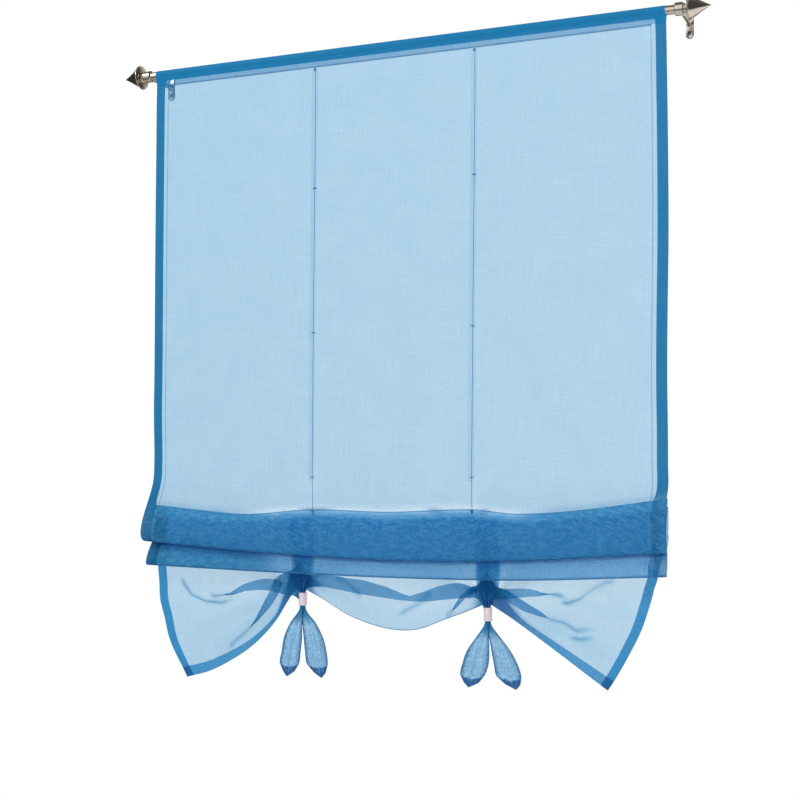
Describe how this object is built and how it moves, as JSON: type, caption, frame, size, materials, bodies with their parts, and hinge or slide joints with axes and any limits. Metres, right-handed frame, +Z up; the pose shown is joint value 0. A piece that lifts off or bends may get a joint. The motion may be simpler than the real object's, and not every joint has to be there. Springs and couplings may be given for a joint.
{
  "type": "tie-up curtain",
  "caption": "Sheer blue tie-up curtain on a metal rod with cone finials, drawn up in soft folds, its skirt gathered by two ribbons held in small pale beads.",
  "frame": {"origin": "on the rod's axis, midway between the two brackets", "axes": "+X along the rod to the right as seen from the room, +Y to the wall, +Z up"},
  "size_m": [1.1546, 0.1315, 1.2021],
  "materials": {
    "voile": "sheer woven voile, see-through",
    "ribbon": "double-layered sheer ribbon",
    "tape": "thin woven tape",
    "cord": "thin braided cord",
    "ring": "small moulded rings",
    "bead": "pale moulded sleeve",
    "nickel": "satin nickel plate",
    "screw": "nickel-plated steel"
  },
  "bodies": {
    "root": {"bracket_left": "nickel", "bracket_right": "nickel", "cord_tape_left": "tape", "cord_tape_right": "tape", "curtain_cloth": "voile", "curtain_rod": "nickel", "end_ring_left": "ring", "end_ring_right": "ring", "finial_left": "nickel", "finial_right": "nickel", "guide_ring_left_1": "ring", "guide_ring_left_2": "ring", "guide_ring_left_3": "ring", "guide_ring_left_4": "ring", "guide_ring_right_1": "ring", "guide_ring_right_2": "ring", "guide_ring_right_3": "ring", "guide_ring_right_4": "ring", "lift_cord_left": "cord", "lift_cord_right": "cord", "screw_left_lower": "screw", "screw_left_upper": "screw", "screw_right_lower": "screw", "screw_right_upper": "screw", "tie_bead_left": "bead", "tie_bead_right": "bead", "tie_ribbon_left": "ribbon", "tie_ribbon_right": "ribbon"}
  },
  "joints": []
}
